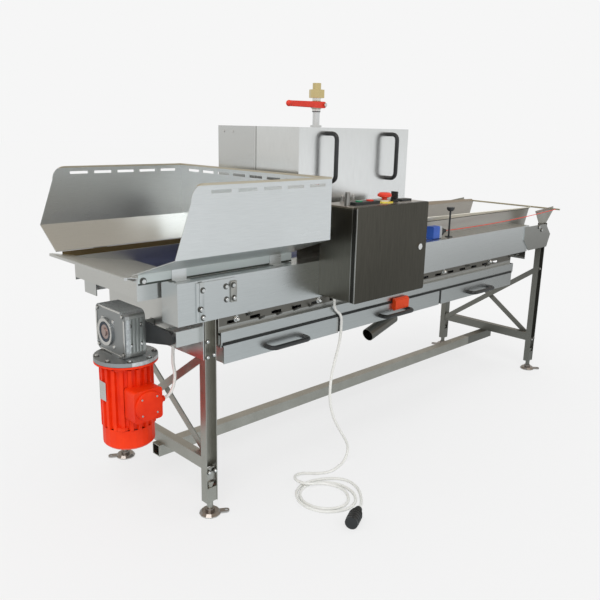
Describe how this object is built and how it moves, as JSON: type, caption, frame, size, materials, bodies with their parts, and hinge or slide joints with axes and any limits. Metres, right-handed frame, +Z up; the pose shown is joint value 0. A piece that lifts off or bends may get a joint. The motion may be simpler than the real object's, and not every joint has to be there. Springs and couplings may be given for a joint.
{
  "type": "roller vegetable washer",
  "caption": "Stainless roller washer for fruit and vegetables with feed hopper, spray hood, settling trays and geared motor.",
  "frame": {"origin": "on the floor, under the middle of the machine's box without its free cable", "axes": "+X along the machine towards the outfeed, +Z up, the control box faces -Y"},
  "size_m": [2.401, 1.0437, 1.362],
  "materials": {
    "black_plastic": "matt",
    "blue_plastic": "matt",
    "brass": "machined",
    "cast_aluminium": "cast",
    "chrome": "polished",
    "dark_stainless": "brushed stainless, dark reflections",
    "frame_steel": "glass-blasted stainless",
    "green_plastic": "gloss",
    "motor_red": "gloss paint",
    "orange_plastic": "satin",
    "red_plastic": "gloss",
    "stainless": "brushed stainless sheet",
    "steel": "machined",
    "white_cable": "satin"
  },
  "bodies": {
    "machine": {"ball_valve": "brass", "bearing_wall": "stainless", "cable_coil": "white_cable", "cable_gland": "white_cable", "control_box": "dark_stainless", "drive_chain": "steel", "end_frame_left": "frame_steel", "end_frame_right": "frame_steel", "end_rod": "steel", "end_wall_left": "stainless", "end_wall_right": "stainless", "fan_cowl": "motor_red", "gearbox_housing": "cast_aluminium", "hood_rear": "stainless", "hopper": "stainless", "infeed_tray": "stainless", "motor_cable": "white_cable", "motor_housing": "motor_red", "outfeed_guides": "stainless", "plug": "black_plastic", "power_cable": "white_cable", "pull_switch": "blue_plastic", "pull_wire": "red_plastic", "side_panel_front": "stainless", "side_panel_rear": "stainless", "spray_pipe": "steel", "stretcher": "frame_steel", "torque_arm": "black_plastic", "water_pan": "stainless"},
    "foot_front_left": {"foot_front_left": "frame_steel"},
    "foot_front_right": {"foot_front_right": "frame_steel"},
    "foot_rear_left": {"foot_rear_left": "frame_steel"},
    "foot_rear_right": {"foot_rear_right": "frame_steel"},
    "left_tray": {"tray_left": "stainless", "tray_handle_left": "black_plastic"},
    "middle_tray": {"tray_middle": "stainless", "tray_handle_middle": "black_plastic", "drain_pipe": "stainless"},
    "right_tray": {"tray_right": "stainless", "tray_handle_right": "black_plastic"},
    "latch": {"tray_latch": "orange_plastic"},
    "rotor": {"motor_rotor": "steel"},
    "drive": {"worm_wheel": "steel", "drive_shaft": "steel"},
    "roller_1": {"washing_roller_1": "blue_plastic"},
    "roller_2": {"washing_roller_2": "blue_plastic"},
    "roller_3": {"washing_roller_3": "blue_plastic"},
    "roller_4": {"washing_roller_4": "blue_plastic"},
    "hood_cover": {"hood_front": "stainless", "hood_handle_left": "black_plastic", "hood_handle_right": "black_plastic"},
    "lever": {"valve_lever": "red_plastic"},
    "door": {"control_door": "dark_stainless"},
    "lock": {"door_lock": "chrome"},
    "start": {"start_button": "green_plastic"},
    "stop": {"stop_button": "red_plastic"},
    "estop": {"estop_button": "red_plastic"},
    "selector": {"selector_switch": "black_plastic"},
    "clamp_knob": {"infeed_knob": "black_plastic"},
    "guide_screw": {"guide_knob": "black_plastic"}
  },
  "joints": [
    {"name": "foot_front_left_turn", "type": "hinge", "parent": "machine", "child": "foot_front_left", "pos_m": [-0.9485, -0.24025, 0], "axis": [0, 0, 1], "continuous": true},
    {"name": "foot_front_right_turn", "type": "hinge", "parent": "machine", "child": "foot_front_right", "pos_m": [1.1035, -0.24275, 0], "axis": [0, 0, 1], "continuous": true},
    {"name": "foot_rear_left_turn", "type": "hinge", "parent": "machine", "child": "foot_rear_left", "pos_m": [-0.9485, 0.28215, 0], "axis": [0, 0, 1], "continuous": true},
    {"name": "foot_rear_right_turn", "type": "hinge", "parent": "machine", "child": "foot_rear_right", "pos_m": [1.1035, 0.28465, 0], "axis": [0, 0, 1], "continuous": true},
    {"name": "left_tray_slide", "type": "slide", "parent": "machine", "child": "left_tray", "axis": [0, -1, 0], "range_m": [0, 0.22]},
    {"name": "middle_tray_slide", "type": "slide", "parent": "machine", "child": "middle_tray", "axis": [0, -1, 0], "range_m": [0, 0.22]},
    {"name": "right_tray_slide", "type": "slide", "parent": "machine", "child": "right_tray", "axis": [0, -1, 0], "range_m": [0, 0.22]},
    {"name": "latch_swing", "type": "hinge", "parent": "middle_tray", "child": "latch", "pos_m": [-0.0603, -0.27435, 0.538], "axis": [1, 0, 0], "range_deg": [0, 90]},
    {"name": "rotor_spin", "type": "hinge", "parent": "machine", "child": "rotor", "pos_m": [-1.1035, -0.02905, 0.582], "axis": [0, 0, 1], "continuous": true},
    {"name": "drive_spin", "type": "hinge", "parent": "machine", "child": "drive", "pos_m": [-1.1035, 0.02095, 0.582], "axis": [1, 0, 0], "continuous": true},
    {"name": "roller_1_spin", "type": "hinge", "parent": "machine", "child": "roller_1", "pos_m": [-0.8982, -0.11705, 0.684], "axis": [1, 0, 0], "continuous": true},
    {"name": "roller_2_spin", "type": "hinge", "parent": "machine", "child": "roller_2", "pos_m": [-0.8982, -0.02505, 0.636], "axis": [1, 0, 0], "continuous": true},
    {"name": "roller_3_spin", "type": "hinge", "parent": "machine", "child": "roller_3", "pos_m": [-0.8982, 0.06695, 0.636], "axis": [1, 0, 0], "continuous": true},
    {"name": "roller_4_spin", "type": "hinge", "parent": "machine", "child": "roller_4", "pos_m": [-0.8982, 0.15895, 0.684], "axis": [1, 0, 0], "continuous": true},
    {"name": "hood_lift", "type": "slide", "parent": "machine", "child": "hood_cover", "axis": [0, 0, 1], "range_m": [0, 0.3]},
    {"name": "lever_turn", "type": "hinge", "parent": "machine", "child": "lever", "pos_m": [-0.1905, 0.04495, 1.2823], "axis": [0, 1, 0], "range_deg": [0, 90]},
    {"name": "door_swing", "type": "hinge", "parent": "machine", "child": "door", "pos_m": [-0.4975, -0.39695, 0.648], "axis": [0, 0, -1], "range_deg": [0, 120]},
    {"name": "lock_turn", "type": "hinge", "parent": "door", "child": "lock", "pos_m": [-0.1615, -0.41495, 0.8035], "axis": [0, 1, 0], "range_deg": [0, 90]},
    {"name": "start_press", "type": "slide", "parent": "machine", "child": "start", "axis": [0, 0, -1], "range_m": [0, 0.002], "stiffness_N_per_m": 200, "springref_m": -0.003},
    {"name": "stop_press", "type": "slide", "parent": "machine", "child": "stop", "axis": [0, 0, -1], "range_m": [0, 0.002], "stiffness_N_per_m": 200, "springref_m": -0.003},
    {"name": "estop_press", "type": "slide", "parent": "machine", "child": "estop", "axis": [0, 0, -1], "range_m": [0, 0.006], "stiffness_N_per_m": 300, "springref_m": -0.006},
    {"name": "selector_turn", "type": "hinge", "parent": "machine", "child": "selector", "pos_m": [-0.2365, -0.35295, 0.9593], "axis": [0, 0, 1], "range_deg": [-45, 45]},
    {"name": "clamp_knob_turn", "type": "hinge", "parent": "machine", "child": "clamp_knob", "pos_m": [-0.6085, -0.16605, 0.785], "axis": [0, 1, 0], "continuous": true},
    {"name": "guide_screw_turn", "type": "hinge", "parent": "machine", "child": "guide_screw", "pos_m": [0.3085, -0.22405, 0.7683], "axis": [0, 0, 1], "continuous": true}
  ],
  "couplings": [
    {"joint": "drive_spin", "follows": "rotor_spin", "ratio": 0.03333},
    {"joint": "roller_1_spin", "follows": "rotor_spin", "ratio": 0.033333},
    {"joint": "roller_2_spin", "follows": "rotor_spin", "ratio": 0.02},
    {"joint": "roller_3_spin", "follows": "rotor_spin", "ratio": 0.02},
    {"joint": "roller_4_spin", "follows": "rotor_spin", "ratio": 0.033333}
  ]
}
